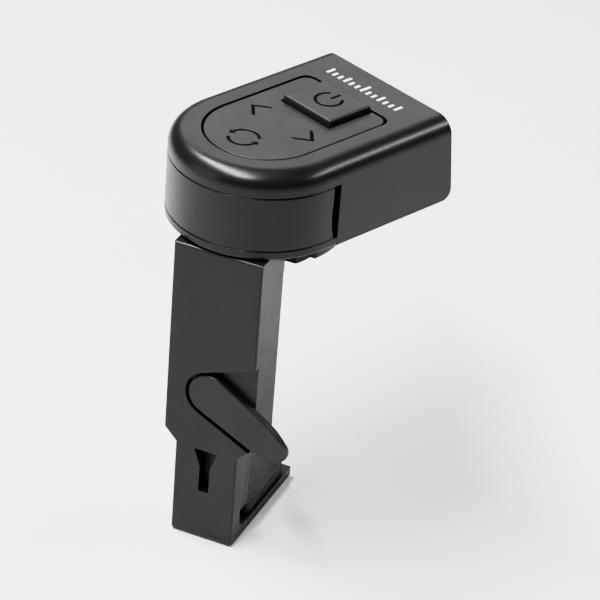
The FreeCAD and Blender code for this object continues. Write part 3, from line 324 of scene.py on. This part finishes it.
def display_panel():
    """Unlit liquid crystal: grey green, with its fine electrode grid just visible."""
    surface = Surface("display_panel", IOR=1.5, Coat_Weight=0.6, Coat_Roughness=0.08)
    grid = surface.span(surface.waves(1.6, 0.0, "Z"), 0.0, 0.35, start=0.85, end=1.0)
    cloud = surface.span(surface.noise(0.12, 2), 0.0, 1.0)
    colour = surface.mix(cloud, rgb(0.155, 0.185, 0.135), rgb(0.180, 0.210, 0.155))
    colour = surface.mix(grid, colour, rgb(0.115, 0.140, 0.105))
    return surface.finish(colour, surface.span(surface.noise(1.0, 3), 0.26, 0.36), surface.bump(grid, 0.002))


def window_lens():
    """Clear moulded lens with faint wiping marks."""
    surface = Surface("window_lens", IOR=1.49, Transmission_Weight=1.0)
    wiped = surface.noise(1.2, 5, stretch=(0.3, 0.3, 1.5))
    colour = surface.mix(surface.span(wiped, 0, 1), rgb(0.90, 0.94, 0.93), rgb(0.96, 0.98, 0.98))
    return surface.finish(colour, surface.span(wiped, 0.015, 0.07), surface.bump(wiped, 0.001))


def bezel_gloss():
    """Polished black, with hair scratches."""
    surface = Surface("bezel_gloss", IOR=1.5)
    hair = surface.noise(3.0, 6, stretch=(0.2, 0.2, 4.0))
    colour = surface.mix(surface.span(hair, 0, 1), rgb(0.010, 0.010, 0.010), rgb(0.020, 0.020, 0.021))
    scratched = surface.bump(hair, 0.002, surface.round_edges(0.1))
    return surface.finish(colour, surface.span(hair, 0.10, 0.24), scratched)


def print_ink_and_groove_shade(name, dark, light, roughness, specular):
    """Pad print, and the near-black painted shade in the keys' grooves: slightly uneven, with the plastic's
    grain under it.
    """
    surface = Surface(name, Specular_IOR_Level=specular)
    colour = surface.mix(surface.span(surface.noise(4.0, 5), 0, 1), dark, light)
    gloss = surface.span(surface.noise(6.0, 3), roughness - 0.06, roughness + 0.08)
    return surface.finish(colour, gloss, surface.bump(surface.noise(8.0, 4), 0.006))


def studio_floor():
    """Pale matt backdrop paper."""
    surface = Surface("studio_floor", IOR=1.4)
    cloud = surface.span(surface.noise(0.03, 4), 0, 1)
    colour = surface.mix(cloud, rgb(0.71, 0.705, 0.69), rgb(0.74, 0.735, 0.72))
    gloss = surface.span(surface.noise(0.8, 4), 0.75, 0.9)
    return surface.finish(colour, gloss, surface.bump(surface.noise(3, 4), 0.02))


SLOT_MATERIALS = {
    "clamp_plastic": clamp_plastic,
    "lever_plastic": lever_plastic,
    "head_plastic": head_plastic,
    "key_plastic": key_plastic,
    "pad_rubber": pad_rubber,
    "screw_steel": screw_steel,
    "spring_steel": spring_steel,
    "cell_steel": cell_steel,
    "contact_metal": contact_metal,
    "board": board_mask,
    "chip_black": chip_epoxy,
    "piezo_brass": piezo_brass,
    "piezo_ceramic": piezo_silver,
    "lcd": display_panel,
    "window": window_lens,
    "bezel": bezel_gloss,
}


def paint_nodes():
    """Give every CAD node its slot's material."""
    finished = {slot: make() for slot, make in SLOT_MATERIALS.items()}
    for subpart in frame["record"]["subparts"]:
        node = nodes[subpart["node"]]
        for slot in node.material_slots:
            slot.material = finished[subpart["material_slot"]]
    return finished


# Marks and small pieces

def head_place(height):
    """Matrix from the head's drawing plane (x right, y towards the display) to the row frame."""
    return Matrix.Translation((0, 0, height)) @ Matrix.Rotation(HEAD_TURN, 4, "Z")


def stroke(mesh, points, width, low, high, closed=False):
    """Add a ribbon along points in the plane, with mitred corners, between two heights."""
    path = [Vector(point) for point in points]
    count = len(path)
    rings = []
    for index, point in enumerate(path):
        before = path[index - 1] if closed or index else point
        after = path[(index + 1) % count] if closed or index < count - 1 else point
        entering = (point - before).normalized() if before != point else (after - point).normalized()
        leaving = (after - point).normalized() if after != point else entering
        along = (entering + leaving).normalized()
        side = Vector((-along.y, along.x)) * width / 2 / max(along.dot(entering), 0.4)
        corners = [(point - side, low), (point + side, low), (point + side, high), (point - side, high)]
        rings.append([mesh.verts.new((flat.x * MM, flat.y * MM, height * MM)) for flat, height in corners])
    pairs = list(zip(rings, rings[1:]))
    if closed:
        pairs.append((rings[-1], rings[0]))
    for first, second in pairs:
        for corner in range(4):
            following = (corner + 1) % 4
            mesh.faces.new((first[corner], first[following], second[following], second[corner]))
    if not closed:
        mesh.faces.new(rings[0][::-1])
        mesh.faces.new(rings[-1])


def arc(centre, radius, start, end, steps=28):
    """Points of an arc, angles in degrees."""
    turns = [math.radians(start + (end - start) * step / steps) for step in range(steps + 1)]
    return [(centre[0] + radius * math.cos(turn), centre[1] + radius * math.sin(turn)) for turn in turns]


def piece(name, mesh, place, body, material, bevel=0.02):
    """Turn a bmesh into a piece that rides on a body."""
    bmesh.ops.recalc_face_normals(mesh, faces=mesh.faces)
    data = bpy.data.meshes.new(name)
    mesh.to_mesh(data)
    mesh.free()
    data.transform(place)
    thing = bpy.data.objects.new(name, data)
    bpy.context.scene.collection.objects.link(thing)
    data.materials.append(material)
    softened = thing.modifiers.new("soft_edges", "BEVEL")
    softened.width = bevel * MM
    softened.segments = 2
    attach(thing, body)


def prism(mesh, outline, low, high):
    """Add a flat plate with this outline between two heights."""
    foot = [mesh.verts.new((x * MM, y * MM, low * MM)) for x, y in outline]
    head = [mesh.verts.new((x * MM, y * MM, high * MM)) for x, y in outline]
    mesh.faces.new(foot[::-1])
    mesh.faces.new(head)
    for index in range(len(outline)):
        following = (index + 1) % len(outline)
        mesh.faces.new((foot[index], foot[following], head[following], head[index]))


def chevron_groove_shade(name, side, plate_top, ink_and_groove_shade):
    """Painted shade filling one engraved chevron. Side is -1 for the left one and 1 for the right."""
    tip, back, row, half = CHEVRON_TIP, CHEVRON_BACK, CHEVRON_ROW, CHEVRON_HALF
    inner_tip, inner_back = tip - CHEVRON_SHADE_WIDTH, back - CHEVRON_SHADE_WIDTH
    outline = [(tip, row), (back, row + half), (inner_back, row + half), (inner_tip, row),
               (inner_back, row - half), (back, row - half)]
    mesh = bmesh.new()
    prism(mesh, [(side * x, y) for x, y in outline], GROOVE_SHADE_FLOOR, GROOVE_SHADE_TOP)
    piece(name, mesh, head_place(plate_top), "keypad", ink_and_groove_shade, INK_AND_GROOVE_SHADE_EDGE)


def key_marks(ink_and_groove_shade):
    """Painted shade filling the engraved chevrons and cycle mark of the tipping plate, and the power key's
    mark.
    """
    plate_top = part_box("keypad_plate")[1].z
    chevron_groove_shade("groove_shade_left", -1, plate_top, ink_and_groove_shade)
    chevron_groove_shade("groove_shade_right", 1, plate_top, ink_and_groove_shade)
    mesh = bmesh.new()
    for start, side in ((42, -1), (222, 1)):
        turn = arc((0, CYCLE_ROW), CYCLE_RADIUS, start + 0.6, start + 138)
        stroke(mesh, turn, GROOVE_SHADE_WIDTH, GROOVE_SHADE_FLOOR, GROOVE_SHADE_TOP)
        head = [(side * (CYCLE_RADIUS - CYCLE_BARB), CYCLE_ROW),
                (side * (CYCLE_RADIUS + CYCLE_BARB), CYCLE_ROW),
                (side * CYCLE_RADIUS, CYCLE_ROW + side * 0.68)]
        prism(mesh, head, GROOVE_SHADE_FLOOR, GROOVE_SHADE_TOP)
    piece("groove_shade_cycle", mesh, head_place(plate_top), "keypad", ink_and_groove_shade, INK_AND_GROOVE_SHADE_EDGE)
    mesh = bmesh.new()
    stroke(mesh, arc((0, POWER_ROW), POWER_RADIUS, 130.6, 409.4, 40), GROOVE_SHADE_WIDTH, GROOVE_SHADE_FLOOR, GROOVE_SHADE_TOP)
    stroke(mesh, [(0, POWER_ROW + 0.42), (0, POWER_ROW + 2.03)], GROOVE_SHADE_WIDTH, GROOVE_SHADE_FLOOR, GROOVE_SHADE_TOP)
    key_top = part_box("power_button")[1].z
    piece("groove_shade_power", mesh, head_place(key_top), "power_key", ink_and_groove_shade, INK_AND_GROOVE_SHADE_EDGE)


def pitch_scale(ink_and_groove_shade):
    """Printed row of ticks along the display's edge: a long one in the middle, every third one longer."""
    mesh = bmesh.new()
    for step in range(-TICKS_EACH_SIDE, TICKS_EACH_SIDE + 1):
        length = 1.8 if step == 0 else 1.4 if step % 3 == 0 else 0.9
        along = TICK_CENTRE + step * TICK_PITCH
        stroke(mesh, [(along, TICK_ROW), (along, TICK_ROW + length)], TICK_WIDTH, PRINT_SUNK, PRINT_PROUD)
    casing_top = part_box("head_casing")[1].z
    piece("pitch_scale", mesh, head_place(casing_top), "head", ink_and_groove_shade, INK_AND_GROOVE_SHADE_EDGE)


def face_matrix(depth):
    """Matrix from a drawing on the display, x to the right and y up as seen facing it."""
    base = Vector((0, HEAD_REACH, 0)) * MM
    up = Vector((0, -math.sin(DISPLAY_LEAN), math.cos(DISPLAY_LEAN)))
    outward = Vector((0, math.cos(DISPLAY_LEAN), math.sin(DISPLAY_LEAN)))
    across = up.cross(outward)
    turned = Matrix((across, up, outward)).transposed().to_4x4()
    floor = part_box("head_casing")[0].z
    return head_place(floor) @ Matrix.Translation(base - outward * depth * MM) @ turned


def segment(mesh, points, width, closed=False):
    """One unlit stroke on the display panel."""
    stroke(mesh, points, width, 0.0, SEGMENT_THICK, closed)


def display_marks(ink_and_groove_shade):
    """Unlit segments on the panel: a scale, its needle, two arrows, level bars and a battery outline."""
    place = face_matrix(PANEL_DEPTH)
    mesh = bmesh.new()
    for step in range(-DIAL_STEPS_EACH_SIDE, DIAL_STEPS_EACH_SIDE + 1):
        turn = math.radians(90 - step * DIAL_STEP)
        reaches = (9.3 if step % 5 == 0 else 9.75, DIAL_RADIUS)
        ends = [(reach * math.cos(turn), reach * math.sin(turn) - DIAL_DROP) for reach in reaches]
        segment(mesh, ends, 0.2)
    piece("segment_scale", mesh, place, "head", ink_and_groove_shade, SEGMENT_EDGE)
    mesh = bmesh.new()
    segment(mesh, [(0.25, 3.6), (0.75, 7.1)], 0.22)
    segment(mesh, arc((0, 3.5), 0.55, 0, 345, 20), 0.2, closed=True)
    piece("segment_needle", mesh, place, "head", ink_and_groove_shade, SEGMENT_EDGE)
    mesh = bmesh.new()
    for side in (-1, 1):
        segment(mesh, [(side * 7.2, 4.3), (side * 6.2, 3.7), (side * 7.2, 3.1)], 0.3)
    for step in range(4):
        along = 2.6 + step * 0.55
        segment(mesh, [(along, SYMBOL_ROW), (along, SYMBOL_ROW + 0.3 + step * 0.3)], 0.32)
    low, high = SYMBOL_ROW, SYMBOL_ROW + 1.1
    segment(mesh, [(-4.6, low), (-2.6, low), (-2.6, high), (-4.6, high)], 0.18, closed=True)
    piece("segment_symbols", mesh, place, "head", ink_and_groove_shade, SEGMENT_EDGE)


def cell_mark(ink_and_groove_shade):
    """Stamped plus on the cell's can."""
    arm, width, depth = 1.3, 0.4, 0.03
    mesh = bmesh.new()
    for ends in ([(-arm, 0), (arm, 0)], [(0, -arm), (0, arm)]):
        stroke(mesh, ends, width, -depth, 0.0)
    place = head_place(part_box("coin_cell")[0].z + 0.012 * MM)
    piece("cell_plus", mesh, place, "drawer", ink_and_groove_shade, INK_AND_GROOVE_SHADE_EDGE)


def board_parts(body_material, cap_material):
    """Small resistors and capacitors on the board's upper face, with their metal ends."""
    spots = [(x, y) for y, row in CHIP_ROWS.items() for x in row]
    bodies, caps = bmesh.new(), bmesh.new()
    for x, y in spots:
        stroke(bodies, [(x - 0.42, y), (x + 0.42, y)], 0.62, 0.02, 0.42)
        for side in (-1, 1):
            stroke(caps, [(x + side * 0.44, y), (x + side * 0.72, y)], 0.66, 0.0, 0.45)
    place = head_place(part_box("circuit_board")[1].z)
    piece("board_chips", bodies, place, "head", body_material, 0.04)
    piece("board_chip_ends", caps, place, "head", cap_material, 0.05)


# Studio

def area_light(name, place, target, size, power):
    """Soft box aimed at a point."""
    light = bpy.data.lights.new(name, "AREA")
    light.shape = "RECTANGLE"
    light.size, light.size_y = size
    light.energy = power
    lamp = bpy.data.objects.new(name, light)
    lamp.location = place
    lamp.rotation_euler = (Vector(place) - Vector(target)).to_track_quat("Z", "Y").to_euler()
    bpy.context.scene.collection.objects.link(lamp)


def studio(centre):
    """Pale floor, narrow overhead and edge lights, rear and fill soft boxes, and an even sky."""
    floor_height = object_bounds()[0].z
    mesh = bmesh.new()
    bmesh.ops.create_grid(mesh, x_segments=4, y_segments=4, size=2.0)
    data = bpy.data.meshes.new("studio_floor")
    mesh.to_mesh(data)
    mesh.free()
    ground = bpy.data.objects.new("studio_floor", data)
    ground.location = (0, 0, floor_height)
    data.materials.append(studio_floor())
    bpy.context.scene.collection.objects.link(ground)
    ground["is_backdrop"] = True
    area_light("overhead", (-0.12, -0.08, 0.40), centre, (0.42, 0.016), 5.0)
    area_light("edge", (0.33, 0.17, 0.29), centre, (0.30, 0.02), 1.0)
    area_light("rear", (-0.20, 0.52, 0.40), centre, (0.60, 0.30), 1.1)
    area_light("fill", (-0.45, -0.45, 0.18), centre, (0.40, 0.40), 0.8)
    world = bpy.data.worlds.new("studio")
    world.use_nodes = True
    sky = world.node_tree.nodes["Background"]
    sky.inputs["Color"].default_value = rgb(0.93, 0.95, 1.0)
    sky.inputs["Strength"].default_value = 0.22
    bpy.context.scene.world = world
    bpy.context.scene.view_settings.look = "AgX - High Contrast"


def camera(centre):
    """Long lens from above the front right, with a slight roll."""
    azimuth, elevation, roll = math.radians(22.0), math.radians(32.0), math.radians(4.64)
    distance = 0.3945
    towards = Vector((math.sin(azimuth) * math.cos(elevation), -math.cos(azimuth) * math.cos(elevation),
                      math.sin(elevation)))
    right = Vector((math.cos(azimuth), math.sin(azimuth), 0))
    up = towards.cross(right)
    across = math.cos(roll) * right + math.sin(roll) * up
    upward = math.cos(roll) * up - math.sin(roll) * right
    view = Matrix((across, upward, towards)).transposed().to_4x4()
    lens = bpy.data.cameras.new("camera")
    lens.lens = 180
    lens.clip_start = 0.01
    eye = bpy.data.objects.new("camera", lens)
    eye.matrix_world = Matrix.Translation(centre + towards * distance) @ view
    bpy.context.scene.collection.objects.link(eye)
    bpy.context.scene.camera = eye


finished = paint_nodes()
# Near-black print for the display's segments and the cell's plus; in the keys' engraved grooves the same
# colour is painted shade.
dark_ink_and_groove_shade = print_ink_and_groove_shade("mark_ink_and_groove_shade", rgb(0.003, 0.003, 0.003), rgb(0.006, 0.006, 0.006), 0.85, 0.06)
pale_ink = print_ink_and_groove_shade("scale_ink", rgb(0.68, 0.67, 0.64), rgb(0.78, 0.77, 0.74), 0.45, 0.4)
key_marks(dark_ink_and_groove_shade)
pitch_scale(pale_ink)
display_marks(dark_ink_and_groove_shade)
cell_mark(dark_ink_and_groove_shade)
board_parts(finished["chip_black"], finished["screw_steel"])
low, high = cad_box
middle = (Vector(low) + Vector(high)) / 2
studio(middle)
camera(middle)
